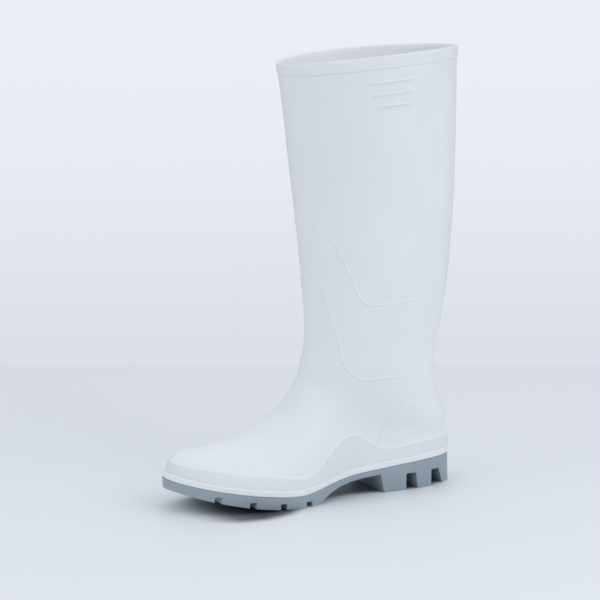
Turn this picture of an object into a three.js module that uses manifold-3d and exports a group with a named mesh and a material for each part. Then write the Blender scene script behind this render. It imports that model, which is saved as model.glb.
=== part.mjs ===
// A left work boot of the moulded kind: a tall white shaft and foot in one piece on a grey lugged sole.
// Millimetres, +Z up, toe towards -Y, outer side of the foot towards +X.

import * as THREE from "three";
import ManifoldModule from "manifold-3d";

// Sole
const soleLength = 287.5;
const ballWidth = 96.5;
const heelSeat = 26.8;
const toeSpring = 20.8;
const heelFlare = 1.8;
const soleTaper = 1.3;
const lugDepth = 5.2;
const grooveWidth = 7;
const channelWidth = 6;
const heelGapHeight = 15.5;

// Upper
const shaftHeight = 402.6;
const collarDepth = 171.5;
const collarWidth = 141.9;
const collarMiddle = 0.53;
const collarTilt = 0.094;
const collarBow = 2.5;
const collarBand = 10.9;
const collarProud = 0.8;
const ankleHeight = 120;
const ankleDepth = 130.9;
const ankleWidth = 91.6;
const instepHeight = 112;
const toeHeight = 52.5;
const wall = 2.6;
const bandHeight = 16.6;
const bandProud = 1.2;
const lipHeight = 4.8;
const lipProud = 0.7;
const seamStep = 0.5;
const rimRound = 0.9;
const stepRise = 0.35;

// Insole and fits
const insoleThickness = 3.2;
const clearance = 0.3;

// How softly leg and foot run together, and the length that stands for the foot's own size there
const blend = 12;
const footScale = 35;

// Mesh fineness
const around = 60;
const solePoints = 96;
const heelEnd = 0.2;

// Plan of the sole. Along is the share of its length from the heel, width a share of the ball's,
// and swing moves the middle line outwards, as a share of the ball's width.
const plan = [
  { along: 0.0, width: 0.7, swing: -0.026 },
  { along: 0.12, width: 0.705, swing: -0.022 },
  { along: 0.24, width: 0.69, swing: -0.012 },
  { along: 0.36, width: 0.672, swing: 0.02 },
  { along: 0.48, width: 0.744, swing: 0.052 },
  { along: 0.6, width: 0.915, swing: 0.05 },
  { along: 0.72, width: 1.0, swing: 0.028 },
  { along: 0.84, width: 1.0, swing: 0.03 },
  { along: 1.0, width: 1.0, swing: 0.05 },
];
const heelRound = { length: 0.2, outer: 2.05, inner: 2.3 };
const toeRound = { length: 0.28, outer: 1.8, inner: 2.25 };

// Height of the seam between upper and sole, as a share of its height at the heel.
const seam = [
  { along: 0.0, height: 1.0 },
  { along: 0.08, height: 1.01 },
  { along: 0.16, height: 0.97 },
  { along: 0.24, height: 0.908 },
  { along: 0.32, height: 0.844 },
  { along: 0.4, height: 0.791 },
  { along: 0.46, height: 0.707 },
  { along: 0.52, height: 0.575 },
  { along: 0.58, height: 0.45 },
  { along: 0.64, height: 0.432 },
  { along: 0.7, height: 0.5 },
  { along: 0.78, height: 0.626 },
  { along: 0.86, height: 0.774 },
  { along: 0.93, height: 0.92 },
  { along: 1.0, height: 1.083 },
];

// Raised band along the seam: its height as a multiple of the plain band's height.
const band = [
  { along: 0.0, height: 1.084 },
  { along: 0.12, height: 1.09 },
  { along: 0.22, height: 1.042 },
  { along: 0.29, height: 1.133 },
  { along: 0.345, height: 1.655 },
  { along: 0.4, height: 2.205 },
  { along: 0.45, height: 2.12 },
  { along: 0.51, height: 1.5 },
  { along: 0.57, height: 0.965 },
  { along: 0.64, height: 0.995 },
  { along: 0.76, height: 1.043 },
  { along: 0.88, height: 1.05 },
  { along: 1.0, height: 0.93 },
];

// Leg below the ankle. Up is a share of the ankle's height, back and middle are shares of the sole's
// length from its heel, depth and width are shares of the ankle's, and swing is a share of its width.
const lowerLeg = [
  { up: 0.0, back: 0.04, middle: 0.15, depth: 0.95, width: 0.48, power: 2.3, swing: -0.025 },
  { up: 0.25, back: 0.042, middle: 0.15, depth: 1.0, width: 0.5, power: 2.3, swing: -0.025 },
  { up: 0.4, back: 0.0205, middle: 0.16, depth: 1.1, width: 0.62, power: 2.3, swing: -0.025 },
  { up: 0.5, back: 0.0175, middle: 0.18, depth: 1.15, width: 0.73, power: 2.25, swing: -0.023 },
  { up: 0.6, back: 0.0305, middle: 0.21, depth: 1.13, width: 0.82, power: 2.2, swing: -0.02 },
  { up: 0.7, back: 0.0455, middle: 0.24, depth: 1.09, width: 0.88, power: 2.12, swing: -0.015 },
  { up: 0.8, back: 0.0565, middle: 0.265, depth: 1.05, width: 0.93, power: 2.06, swing: -0.01 },
  { up: 0.9, back: 0.064, middle: 0.282, depth: 1.015, width: 0.97, power: 2.02, swing: -0.004 },
];

// Leg from the ankle to the collar. Up is the share of the way, back a share of the sole's length,
// and depth and width are shares of the way from the ankle's to the collar's.
const upperLeg = [
  { up: 0.0, back: 0.0666, depth: 0.0, width: 0.0, power: 2 },
  { up: 0.054, back: 0.0614, depth: -0.047, width: 0.06, power: 2 },
  { up: 0.107, back: 0.0507, depth: 0.003, width: 0.125, power: 2 },
  { up: 0.196, back: 0.0362, depth: 0.127, width: 0.235, power: 2 },
  { up: 0.285, back: 0.0248, depth: 0.256, width: 0.34, power: 2 },
  { up: 0.392, back: 0.0162, depth: 0.393, width: 0.452, power: 2 },
  { up: 0.5, back: 0.0097, depth: 0.52, width: 0.555, power: 2 },
  { up: 0.64, back: 0.0062, depth: 0.668, width: 0.69, power: 1.98 },
  { up: 0.82, back: 0.0041, depth: 0.828, width: 0.852, power: 1.94 },
  { up: 1.0, back: 0.0041, depth: 1.0, width: 1.0, power: 1.9 },
  { up: 1.08, back: 0.0041, depth: 1.05, width: 1.05, power: 1.9 },
];

// Cross-sections of the foot. Top is the share of the way from the toe's height to the instep's,
// ridge is the top line's place as a share of the ball's width, and side and crown are how square
// the section is towards the floor and over the top.
const foot = [
  { along: 0.0, top: 0.1, ridge: -0.02, side: 2.6, crown: 3.0 },
  { along: 0.2, top: 0.25, ridge: -0.02, side: 2.6, crown: 2.6 },
  { along: 0.32, top: 0.6, ridge: -0.02, side: 2.4, crown: 2.3 },
  { along: 0.42, top: 0.89, ridge: -0.02, side: 2.3, crown: 2.2 },
  { along: 0.48, top: 0.875, ridge: -0.03, side: 2.35, crown: 2.25 },
  { along: 0.52, top: 0.785, ridge: -0.04, side: 2.4, crown: 2.3 },
  { along: 0.56, top: 0.615, ridge: -0.05, side: 2.4, crown: 2.3 },
  { along: 0.6, top: 0.43, ridge: -0.06, side: 2.4, crown: 2.3 },
  { along: 0.65, top: 0.27, ridge: -0.07, side: 2.45, crown: 2.3 },
  { along: 0.7, top: 0.13, ridge: -0.08, side: 2.5, crown: 2.35 },
  { along: 0.76, top: 0.035, ridge: -0.08, side: 2.6, crown: 2.5 },
  { along: 0.83, top: 0.005, ridge: -0.07, side: 2.8, crown: 2.8 },
  { along: 0.9, top: 0.02, ridge: -0.05, side: 3.3, crown: 3.3 },
  { along: 1.0, top: 0.05, ridge: -0.04, side: 3.8, crown: 3.8 },
];

// Rays that find the foot's surface, from the seam up to the ankle. Front and back are the places
// that they start from, as shares of the sole's length, the heights are shares of the ankle's height,
// lift is how steeply the front ones rise in degrees, follow is how far they keep to the seam, bands is
// how many band heights above it, and hump is how much of the band's hump they take up.
const climb = [
  { front: 0.776, frontUp: 0.33, lift: 0, back: 0.155, backUp: 0.4, follow: 1, bands: 1.12, hump: 1 },
  { front: 0.78, frontUp: 0.34, lift: 22, back: 0.155, backUp: 0.43, follow: 0.8, bands: 1.35, hump: 0.97 },
  { front: 0.78, frontUp: 0.33, lift: 48, back: 0.155, backUp: 0.47, follow: 0.5, bands: 1.65, hump: 0.93 },
  { front: 0.765, frontUp: 0.3, lift: 72, back: 0.162, backUp: 0.52, follow: 0.2, bands: 1.95, hump: 0.88 },
  { front: 0.69, frontUp: 0.3, lift: 82, back: 0.172, backUp: 0.57, follow: 0, bands: 2, hump: 0.8 },
  { front: 0.614, frontUp: 0.32, lift: 76, back: 0.18, backUp: 0.63, follow: 0, bands: 2, hump: 0.7 },
  { front: 0.534, frontUp: 0.38, lift: 64, back: 0.19, backUp: 0.69, follow: 0, bands: 2, hump: 0.58 },
  { front: 0.455, frontUp: 0.52, lift: 50, back: 0.2, backUp: 0.76, follow: 0, bands: 2, hump: 0.42 },
  { front: 0.397, frontUp: 0.67, lift: 38, back: 0.214, backUp: 0.84, follow: 0, bands: 2, hump: 0.25 },
  { front: 0.352, frontUp: 0.82, lift: 26, back: 0.228, backUp: 0.93, follow: 0, bands: 2, hump: 0.12 },
  { front: 0.324, frontUp: 0.97, lift: 17, back: 0.241, backUp: 1.04, follow: 0, bands: 2, hump: 0.04 },
  { front: 0.303, frontUp: 1.13, lift: 9, back: 0.255, backUp: 1.17, follow: 0, bands: 2, hump: 0 },
  { front: 0.29, frontUp: 1.33, lift: 4, back: 0.262, backUp: 1.35, follow: 0, bands: 2, hump: 0 },
  { front: 0.276, frontUp: 1.58, lift: 0, back: 0.269, backUp: 1.58, follow: 0, bands: 2, hump: 0 },
];

const clamp = THREE.MathUtils.clamp;
const mix = THREE.MathUtils.lerp;

// Natural cubic spline through one column of a table.
function curve(rows, across, column) {
  const xs = rows.map((row) => row[across]);
  const ys = rows.map((row) => row[column]);
  const last = xs.length - 1;
  const bend = new Array(last + 1).fill(0);
  const carry = new Array(last + 1).fill(0);
  for (let i = 1; i < last; i += 1) {
    const before = xs[i] - xs[i - 1];
    const after = xs[i + 1] - xs[i];
    const slopes = (ys[i + 1] - ys[i]) / after - (ys[i] - ys[i - 1]) / before;
    const pivot = 2 * (before + after) - before * carry[i - 1];
    carry[i] = after / pivot;
    bend[i] = (6 * slopes - before * bend[i - 1]) / pivot;
  }
  for (let i = last - 1; i > 0; i -= 1) bend[i] -= carry[i] * bend[i + 1];
  return (at) => {
    const x = clamp(at, xs[0], xs[last]);
    let i = 0;
    while (i < last - 1 && x > xs[i + 1]) i += 1;
    const span = xs[i + 1] - xs[i];
    const b = (x - xs[i]) / span;
    const a = 1 - b;
    const curved = ((a ** 3 - a) * bend[i] + (b ** 3 - b) * bend[i + 1]) * span ** 2 / 6;
    return a * ys[i] + b * ys[i + 1] + curved;
  };
}

// Sole outline, seam and band as functions of the share along
const planWidth = curve(plan, "along", "width");
const planSwing = curve(plan, "along", "swing");
const seamShare = curve(seam, "along", "height");
const bandShare = curve(band, "along", "height");
const seamAt = (along) => heelSeat * seamShare(along);
const bandAt = (along) => bandHeight * bandShare(along);

function planHalf(along, outer) {
  const swing = outer ? planSwing(along) : -planSwing(along);
  return ballWidth * (planWidth(along) / 2 + swing);
}

// 0 on the middle of the plan, 1 on its outline drawn in by inset
function planReach(x, y, inset) {
  const start = heelFlare + inset;
  const along = (-y - start) / (soleLength - start - inset);
  const outer = x > 0;
  const half = planHalf(clamp(along, 0, 1), outer) - inset;
  const heel = (heelRound.length - along) / heelRound.length;
  const toe = (along - 1 + toeRound.length) / toeRound.length;
  const end = Math.max(heel, toe, 0);
  const round = heel > toe ? heelRound : toeRound;
  const power = outer ? round.outer : round.inner;
  return ((Math.abs(x) / half) ** power + end ** power) ** (1 / power);
}

// Leg: rows in millimetres from both tables
function legRows() {
  const rows = lowerLeg.map((row) => ({
    z: row.up * ankleHeight,
    back: -row.back * soleLength,
    front: -row.back * soleLength - row.depth * ankleDepth,
    middle: -row.middle * soleLength,
    half: (row.width * ankleWidth) / 2,
    power: row.power,
    swing: row.swing * ankleWidth,
  }));
  for (const row of upperLeg) {
    const back = -row.back * soleLength;
    const front = back - mix(ankleDepth, collarDepth, row.depth);
    rows.push({
      z: mix(ankleHeight, shaftHeight, row.up),
      back,
      front,
      middle: mix(back, front, mix(0.5, collarMiddle, row.up)),
      half: mix(ankleWidth, collarWidth, row.width) / 2,
      power: row.power,
      swing: 0,
    });
  }
  return rows;
}

const leg = legRows();
const legBack = curve(leg, "z", "back");
const legFront = curve(leg, "z", "front");
const legMiddle = curve(leg, "z", "middle");
const legHalf = curve(leg, "z", "half");
const legPower = curve(leg, "z", "power");
const legSwing = curve(leg, "z", "swing");

function legDistance(x, y, z) {
  const middle = legMiddle(z);
  const reach = y > middle ? legBack(z) - middle : middle - legFront(z);
  const half = legHalf(z);
  const power = legPower(z);
  const across = Math.abs(x - legSwing(z)) / half;
  const along = Math.abs(y - middle) / reach;
  return ((across ** power + along ** power) ** (1 / power) - 1) * half;
}

// Foot: an arched section on each station, drawn in from the sole's outline
const footTop = curve(foot, "along", "top");
const footRidge = curve(foot, "along", "ridge");
const footSide = curve(foot, "along", "side");
const footCrown = curve(foot, "along", "crown");
const footInset = seamStep + lipProud + bandProud;

function footDistance(x, y, z) {
  const along = clamp(-y / soleLength, 0, 1);
  const floor = seamAt(along);
  const top = mix(toeHeight, instepHeight, footTop(along));
  const height = Math.max((z - floor) / (top - floor), 0);
  const lean = footRidge(along) * ballWidth * Math.min(height, 1) ** 2;
  const reach = planReach(x - lean, y, footInset);
  const side = footSide(along);
  const section = reach ** side + height ** footCrown(along);
  return (section ** (1 / side) - 1) * footScale;
}

function smoothUnion(a, b) {
  const share = clamp(0.5 + (0.5 * (b - a)) / blend, 0, 1);
  return mix(b, a, share) - blend * share * (1 - share);
}

const bootDistance = (x, y, z) => smoothUnion(legDistance(x, y, z), footDistance(x, y, z));

function bootNormal(p) {
  const step = 0.05;
  const rise = (dx, dy, dz) =>
    bootDistance(p.x + dx, p.y + dy, p.z + dz) - bootDistance(p.x - dx, p.y - dy, p.z - dz);
  return new THREE.Vector3(rise(step, 0, 0), rise(0, step, 0), rise(0, 0, step)).normalize();
}

// How late a ray's lift sets in on the way round to the toe
const liftShape = 2.5;

// A point of the wall's outer face: the ray leaves the middle line at the given angle from the toe.
function surfacePoint(ray, angle) {
  const toToe = (1 + Math.cos(angle)) / 2;
  const startY = -soleLength * mix(ray.back, ray.front, toToe);
  const startZ = ankleHeight * mix(ray.backUp, ray.frontUp, toToe);
  const lift = THREE.MathUtils.degToRad(ray.lift) * toToe ** liftShape;
  const at = (t) => {
    const x = t * Math.sin(angle) * Math.cos(lift);
    const y = startY - t * Math.cos(angle) * Math.cos(lift);
    const bow = ray.bow * ((y - startY) / (collarDepth / 2)) ** 2;
    const free = startZ + t * Math.sin(lift) + ray.tilt * (y - startY) - bow;
    const along = clamp(-y / soleLength, 0, 1);
    const kept = seamAt(along) + clearance + ray.bands * bandHeight + ray.above;
    const hump = ray.hump * (bandAt(along) - bandHeight);
    return new THREE.Vector3(x, y, mix(free, kept, ray.follow) + hump);
  };
  let inside = 0;
  let outside = soleLength * 0.6;
  for (let i = 0; i < 40; i += 1) {
    const t = (inside + outside) / 2;
    const p = at(t);
    if (bootDistance(p.x, p.y, p.z) < 0) inside = t;
    else outside = t;
  }
  return at((inside + outside) / 2);
}

// The wall's rings in order. Proud is what the ring stands out from the plain wall.
const seamRay = { ...climb[0], bands: 0, hump: 0, above: 0, tilt: 0, bow: 0 };
const bandTopRay = { ...seamRay, bands: 1, hump: 1 };
const ring = (ray, proud, level) => ({ ray, proud, level });

function bandRings() {
  const edge = stepRise;
  const lip = bandProud + lipProud;
  return [
    ring({ ...seamRay }, lip, true),
    ring({ ...seamRay, above: lipHeight - edge }, lip, true),
    ring({ ...seamRay, above: lipHeight + edge }, bandProud, true),
    ring({ ...bandTopRay, above: -edge }, bandProud, true),
    ring({ ...bandTopRay, above: edge }, 0, true),
  ];
}

function climbRings(steps) {
  const columns = ["front", "frontUp", "lift", "back", "backUp", "follow", "bands", "hump"];
  const rings = [];
  for (let i = 0; i <= steps; i += 1) {
    const at = (i / steps) * (climb.length - 1);
    const row = Math.min(Math.floor(at), climb.length - 2);
    const ray = { above: 0, tilt: 0, bow: 0 };
    for (const column of columns) {
      ray[column] = mix(climb[row][column], climb[row + 1][column], at - row);
    }
    rings.push(ring(ray, 0, false));
  }
  return rings;
}

// Rings of the shaft lean and bow with the collar more and more towards the top.
function shaftRay(share) {
  const last = climb[climb.length - 1];
  const collar = leg[leg.length - 2];
  const middle = (collar.back + collar.front) / 2;
  const start = last.backUp * ankleHeight;
  const up = mix(start, shaftHeight, share) / ankleHeight;
  const place = mix(last.front, -middle / soleLength, Math.min(share * 2, 1));
  const lean = { tilt: collarTilt * share, bow: collarBow * share };
  return { ...last, front: place, back: place, frontUp: up, backUp: up, above: 0, ...lean };
}

function shaftRings(steps) {
  const room = shaftHeight - climb[climb.length - 1].backUp * ankleHeight;
  const bandFoot = 1 - collarBand / room;
  const edge = stepRise / room;
  const rings = [];
  for (let i = 1; i <= steps; i += 1) {
    rings.push(ring(shaftRay((bandFoot - edge) * (i / steps)), 0, true));
  }
  rings.push(ring(shaftRay(bandFoot + edge), collarProud, true));
  rings.push(ring(shaftRay(1 - rimRound / room), collarProud, true));
  return rings;
}

// Points of one ring, moved along the wall's normal. A level ring is moved sideways only, and where
// it follows the seam it keeps its height above it.
function ringPoints(item, out) {
  const points = [];
  for (let i = 0; i < around; i += 1) {
    const p = surfacePoint(item.ray, (i / around) * Math.PI * 2);
    const normal = bootNormal(p);
    if (item.level) normal.setZ(0).normalize();
    const before = seamAt(-p.y / soleLength);
    p.addScaledVector(normal, out);
    if (item.level) p.z += item.ray.follow * (seamAt(-p.y / soleLength) - before);
    points.push(p);
  }
  return points;
}

// A closed surface from rings of equal count that run up the outside and down the inside.
// Each four-sided face is cut along its shorter diagonal.
function shell(rings) {
  const positions = rings.flat().flatMap((p) => [p.x, p.y, p.z]);
  const index = [];
  rings.forEach((points, row) => {
    const after = (row + 1) % rings.length;
    const next = rings[after];
    points.forEach((point, i) => {
      const j = (i + 1) % around;
      const [a, b] = [row * around + i, row * around + j];
      const [c, d] = [after * around + i, after * around + j];
      const rising = point.distanceTo(next[j]) < points[j].distanceTo(next[i]);
      index.push(...(rising ? [a, b, d, a, d, c] : [a, b, c, b, d, c]));
    });
  });
  const geometry = new THREE.BufferGeometry();
  geometry.setAttribute("position", new THREE.Float32BufferAttribute(positions, 3));
  geometry.setIndex(index);
  geometry.computeVertexNormals();
  return geometry;
}

function upperGeometry() {
  const shaft = shaftRings(9);
  const outside = [...bandRings(), ...climbRings(24).slice(1), ...shaft];
  const insoleTop = { ...seamRay, above: insoleThickness };
  const bandMiddle = { ...seamRay, bands: 0.6, hump: 0.6 };
  const foot = [seamRay, insoleTop, bandMiddle].map((ray) => ring(ray, 0, true));
  const inside = [...foot, ...climbRings(22), ...shaftRings(7)];
  const outer = outside.map((item) => ringPoints(item, item.proud));
  const inner = inside.map((item) => ringPoints(item, -wall));
  const rim = ringPoints(ring(shaftRay(1), 0, true), (collarProud - wall) / 2);
  return shell([...outer, rim, ...inner.reverse()]);
}

// Sole: a loft between two plans, cut to a side profile, then grooved
const { Manifold, Mesh, CrossSection } = await loadManifold();

async function loadManifold() {
  const library = await ManifoldModule();
  library.setup();
  return library;
}

function planPoint(angle, inset) {
  const centreY = -soleLength / 2;
  let inside = 0;
  let outside = soleLength;
  for (let i = 0; i < 40; i += 1) {
    const t = (inside + outside) / 2;
    const reach = planReach(t * Math.sin(angle), centreY - t * Math.cos(angle), inset);
    if (reach < 1) inside = t;
    else outside = t;
  }
  return [inside * Math.sin(angle), centreY - inside * Math.cos(angle)];
}

function soleBlock(low, high) {
  const heights = [low, high];
  const positions = [];
  const triangles = [];
  heights.forEach((z, layer) => {
    for (let i = 0; i < solePoints; i += 1) {
      const even = (i / solePoints) * Math.PI * 2;
      const angle = even - 0.3 * Math.sin(2 * even);
      const [x, y] = planPoint(angle, layer ? 0 : soleTaper);
      const toHeel = clamp(1 + y / (heelEnd * soleLength), 0, 1);
      const flare = layer ? 0 : (heelFlare + soleTaper) * toHeel;
      positions.push(x, y + flare, z);
    }
  });
  positions.push(0, -soleLength / 2, low, 0, -soleLength / 2, high);
  for (let i = 0; i < solePoints; i += 1) {
    const j = (i + 1) % solePoints;
    triangles.push(i, solePoints + j, solePoints + i, i, j, solePoints + j);
    triangles.push(2 * solePoints, j, i, 2 * solePoints + 1, solePoints + i, solePoints + j);
  }
  const mesh = new Mesh({
    numProp: 3,
    vertProperties: new Float32Array(positions),
    triVerts: new Uint32Array(triangles),
  });
  return new Manifold(mesh);
}

// Underside of the sole seen from its side
const springStart = 0.6;
const breast = { top: 0.304, foot: 0.288 };
const arch = [
  { along: 0.548, height: 0 },
  { along: 0.535, height: 0.08 },
  { along: 0.5, height: 0.325 },
  { along: 0.46, height: 0.49 },
  { along: 0.42, height: 0.59 },
  { along: 0.38, height: 0.63 },
  { along: 0.34, height: 0.65 },
  { along: breast.top, height: 0.67 },
];
const heelGaps = [
  { front: 0.208, frontTop: 0.208, backTop: 0.172, back: 0.162 },
  { front: 0.108, frontTop: 0.108, backTop: 0.075, back: 0.055 },
];
const grooves = [0.582, 0.675, 0.777, 0.88];

function springAt(along) {
  const share = clamp((along - springStart) / (1 - springStart), 0, 1);
  return toeSpring * share ** 1.6;
}

// A prism across the sole from points given as share along and height
function acrossSole(points) {
  const flat = points.map(([along, z]) => [-along * soleLength, z]);
  const section = new CrossSection([flat], "Positive");
  const prism = section.area() > 0 ? section : new CrossSection([flat.reverse()], "Positive");
  const width = ballWidth * 2;
  return prism.extrude(width).translate([0, 0, -width / 2]).rotate([90, 0, 90]);
}

function soleProfile() {
  const points = [[-0.05, 0], [breast.foot, 0]];
  for (const row of [...arch].reverse()) points.push([row.along, row.height * heelSeat]);
  for (let i = 0; i <= 14; i += 1) {
    const along = mix(springStart, 1.05, i / 14);
    points.push([along, springAt(along)]);
  }
  for (let i = 0; i <= 40; i += 1) {
    const along = mix(1.05, -0.05, i / 40);
    points.push([along, seamAt(clamp(along, 0, 1))]);
  }
  return points;
}

function grooveCut(along) {
  const half = grooveWidth / 2 / soleLength;
  const roof = springAt(along) + lugDepth;
  const low = -heelSeat;
  const narrow = half * 0.86;
  const foot = [[along - half, low], [along + half, low]];
  return acrossSole([...foot, [along + narrow, roof], [along - narrow, roof]]);
}

// Groove down the middle of the forefoot, at the same depth as the cross grooves
function channelCut() {
  const [first, last] = [grooves[0], grooves[grooves.length - 1]];
  const points = [[last, -heelSeat], [first, -heelSeat]];
  for (let i = 0; i <= 10; i += 1) {
    const along = mix(first, last, i / 10);
    points.push([along, springAt(along) + lugDepth]);
  }
  const slab = acrossSole(points);
  const box = Manifold.cube([channelWidth, soleLength * 2, heelSeat * 4], true);
  const middle = planSwing(grooves[1]) * ballWidth;
  return slab.intersect(box.translate([middle, 0, 0]));
}

function heelGapCut(gap) {
  const low = -heelSeat;
  const roof = heelGapHeight;
  const rear = [[gap.back, low], [gap.back, 0], [gap.backTop, roof]];
  return acrossSole([...rear, [gap.frontTop, roof], [gap.front, low]]);
}

function outsoleSolid() {
  const low = -1;
  const high = heelSeat * 1.3;
  const body = soleBlock(low, high).intersect(acrossSole(soleProfile()));
  const cuts = [...grooves.map(grooveCut), channelCut(), ...heelGaps.map(heelGapCut)];
  return body.subtract(Manifold.union(cuts));
}

function geometryOf(solid) {
  const mesh = solid.getMesh();
  const geometry = new THREE.BufferGeometry();
  geometry.setAttribute("position", new THREE.Float32BufferAttribute(mesh.vertProperties, 3));
  geometry.setIndex(Array.from(mesh.triVerts));
  geometry.computeVertexNormals();
  return geometry;
}

// Insole: a slab on the sole's top, cut to the upper's inside at its own top face
function insoleGeometry() {
  const inset = -wall - clearance;
  const lower = ringPoints(ring(seamRay, 0, true), inset);
  const upper = ringPoints(ring({ ...seamRay, above: insoleThickness }, 0, true), inset);
  return slabGeometry(lower, upper);
}

// Slab between two equal rings that are mirrored left and right by count: strips join both sides
function slabGeometry(lower, upper) {
  const count = lower.length;
  const positions = [...lower, ...upper].flatMap((p) => [p.x, p.y, p.z]);
  const index = [];
  for (let i = 0; i < count; i += 1) {
    const j = (i + 1) % count;
    index.push(i, j, count + j, i, count + j, count + i);
  }
  const half = count / 2;
  for (let i = 0; i < half; i += 1) {
    const [a, b] = [i, i + 1];
    const [c, d] = [(count - i) % count, count - i - 1];
    if (a !== c) index.push(a, c, b, count + a, count + b, count + c);
    if (b !== d) index.push(b, c, d, count + b, count + d, count + c);
  }
  const geometry = new THREE.BufferGeometry();
  geometry.setAttribute("position", new THREE.Float32BufferAttribute(positions, 3));
  geometry.setIndex(index);
  geometry.computeVertexNormals();
  return geometry;
}

function piece(name, geometry, color, roughness) {
  const material = new THREE.MeshStandardMaterial({ color, roughness, metalness: 0 });
  const mesh = new THREE.Mesh(geometry, material);
  mesh.name = name;
  return mesh;
}

const boot = new THREE.Group();
boot.add(piece("upper", upperGeometry(), 0xe9edf2, 0.42));
boot.add(piece("outsole", geometryOf(outsoleSolid()), 0x8f98a3, 0.6));
boot.add(piece("insole", insoleGeometry(), 0xc9cdd2, 0.9));

// The origin is under the middle of the whole boot, on the floor.
const box = new THREE.Box3().setFromObject(boot);
boot.position.set(-(box.min.x + box.max.x) / 2, -(box.min.y + box.max.y) / 2, -box.min.z);

export default boot;
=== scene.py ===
# A left work boot of the moulded kind, dressed: white soft plastic with a textile lining on a grey sole.
# Lengths are millimetres in the boot's own frame (heel at y 0, toe towards -Y) until a mesh is made.

import math

import bmesh
import bpy
import numpy as np
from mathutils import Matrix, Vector


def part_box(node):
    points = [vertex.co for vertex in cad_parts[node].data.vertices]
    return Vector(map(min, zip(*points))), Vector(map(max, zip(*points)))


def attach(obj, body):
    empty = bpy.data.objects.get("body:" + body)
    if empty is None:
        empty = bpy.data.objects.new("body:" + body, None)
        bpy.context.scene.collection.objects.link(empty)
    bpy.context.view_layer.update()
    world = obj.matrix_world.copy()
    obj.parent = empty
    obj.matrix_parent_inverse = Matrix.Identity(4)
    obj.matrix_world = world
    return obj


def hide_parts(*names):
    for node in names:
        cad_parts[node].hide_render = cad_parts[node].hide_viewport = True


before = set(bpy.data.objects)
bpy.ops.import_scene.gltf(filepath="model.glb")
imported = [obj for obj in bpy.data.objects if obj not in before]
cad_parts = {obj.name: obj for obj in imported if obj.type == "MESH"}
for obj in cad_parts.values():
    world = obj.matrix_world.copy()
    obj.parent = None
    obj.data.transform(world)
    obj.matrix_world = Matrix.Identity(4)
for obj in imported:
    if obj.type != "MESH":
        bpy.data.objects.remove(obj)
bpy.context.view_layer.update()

# Sizes, as in the part's source
sole_length = 287.5
ball_width = 96.5
heel_seat = 26.8
heel_flare = 1.8
shaft_height = 402.6
collar_depth = 171.5
collar_width = 141.9
collar_middle = 0.53
collar_tilt = 0.094
collar_bow = 2.5
collar_band = 10.9
collar_proud = 0.8
ankle_height = 120
ankle_depth = 130.9
ankle_width = 91.6
instep_height = 112
toe_height = 52.5
wall = 2.6
band_height = 16.6
band_proud = 1.2
lip_height = 4.8
lip_proud = 0.7
seam_step = 0.5
insole_thickness = 3.2
clearance = 0.3
blend = 12

# Sizes of what is only modelled here
plastic = 1.7
lining_drop = 26
toe_draw = 2.8
hatch_pitch = 3.1
hatch_height = 0.5
line_width = 2.8
line_height = 0.7
heel_line_height = 0.9
rib_width = 4.2
rib_height = 2.2
ridge_width = 4.6
ridge_height = 0.7
sunk = 0.12
field_top = 0.6
bead_width = 2.2
bead_height = 0.2
sole_edge = 0.5
lip_foot = 0.35
lip_gap = 1.4
rim_round = 1.7
rim_drop = 1.0
lining_gap = 0.05
sheet_depth = 0.5
root_depth = 0.4
root_share = 0.3
groove = {"depth": 0.45, "width": 1.3, "away": 0.6}
collar_groove = {"depth": 0.5, "width": 1.6, "away": 0.9}

# How far in front of y 0 the sole's box ends
heel_foot = 0.2126

shell_around = 300
lining_around = 220
hatch_steps = 6
insole_around = 160
ray_reach = 0.6 * sole_length
halvings = 30
normal_step = 0.05
lift_power = 2.5


def table(columns, *rows):
    """Rows of values under the names of their columns."""
    names = columns.split()
    return [dict(zip(names, row)) for row in rows]


plan = table(
    "along width swing",
    (0.0, 0.7, -0.026),
    (0.12, 0.705, -0.022),
    (0.24, 0.69, -0.012),
    (0.36, 0.672, 0.02),
    (0.48, 0.744, 0.052),
    (0.6, 0.915, 0.05),
    (0.72, 1.0, 0.028),
    (0.84, 1.0, 0.03),
    (1.0, 1.0, 0.05),
)
heel_round = {"length": 0.2, "outer": 2.05, "inner": 2.3}
toe_round = {"length": 0.28, "outer": 1.8, "inner": 2.25}

seam = table(
    "along height",
    (0.0, 1.0),
    (0.08, 1.01),
    (0.16, 0.97),
    (0.24, 0.908),
    (0.32, 0.844),
    (0.4, 0.791),
    (0.46, 0.707),
    (0.52, 0.575),
    (0.58, 0.45),
    (0.64, 0.432),
    (0.7, 0.5),
    (0.78, 0.626),
    (0.86, 0.774),
    (0.93, 0.92),
    (1.0, 1.083),
)

band = table(
    "along height",
    (0.0, 1.084),
    (0.12, 1.09),
    (0.22, 1.042),
    (0.29, 1.133),
    (0.345, 1.655),
    (0.4, 2.205),
    (0.45, 2.12),
    (0.51, 1.5),
    (0.57, 0.965),
    (0.64, 0.995),
    (0.76, 1.043),
    (0.88, 1.05),
    (1.0, 0.93),
)

lower_leg = table(
    "up back middle depth width power swing",
    (0.0, 0.04, 0.15, 0.95, 0.48, 2.3, -0.025),
    (0.25, 0.042, 0.15, 1.0, 0.5, 2.3, -0.025),
    (0.4, 0.0205, 0.16, 1.1, 0.62, 2.3, -0.025),
    (0.5, 0.0175, 0.18, 1.15, 0.73, 2.25, -0.023),
    (0.6, 0.0305, 0.21, 1.13, 0.82, 2.2, -0.02),
    (0.7, 0.0455, 0.24, 1.09, 0.88, 2.12, -0.015),
    (0.8, 0.0565, 0.265, 1.05, 0.93, 2.06, -0.01),
    (0.9, 0.064, 0.282, 1.015, 0.97, 2.02, -0.004),
)

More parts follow.
